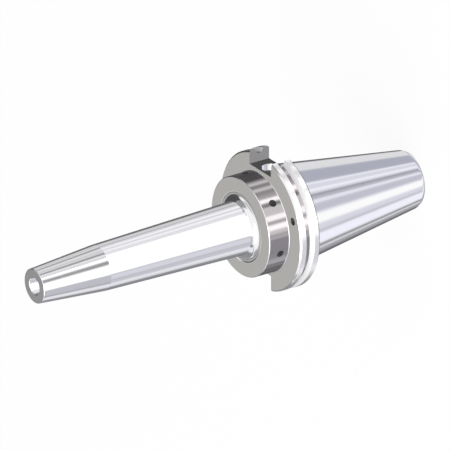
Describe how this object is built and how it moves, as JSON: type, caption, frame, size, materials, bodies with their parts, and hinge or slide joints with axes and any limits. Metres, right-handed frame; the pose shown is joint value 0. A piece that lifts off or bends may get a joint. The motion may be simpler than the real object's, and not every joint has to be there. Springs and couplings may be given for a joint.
{
  "type": "shrink fit holder",
  "caption": "Steep-taper shrink fit tool holder: grooved flange with drive slots, collar with balancing threads, long slim neck and a tapered nose with a plain bore.",
  "frame": {"origin": "on the holder's axis in the plane of the taper's small end, on which it stands", "axes": "+Z along the axis towards the nose, +X out through the shallower drive slot"},
  "size_m": [0.094, 0.0974, 0.3018],
  "materials": {
    "holder_steel": "turned, ground and polished hot-work steel",
    "stop_screw_steel": "black oxide",
    "seal_screw_steel": "black oxide"
  },
  "bodies": {
    "root": {"holder_body": "holder_steel", "length_stop_screw": "stop_screw_steel", "coolant_seal_screw_1": "seal_screw_steel", "coolant_seal_screw_2": "seal_screw_steel"}
  },
  "joints": []
}
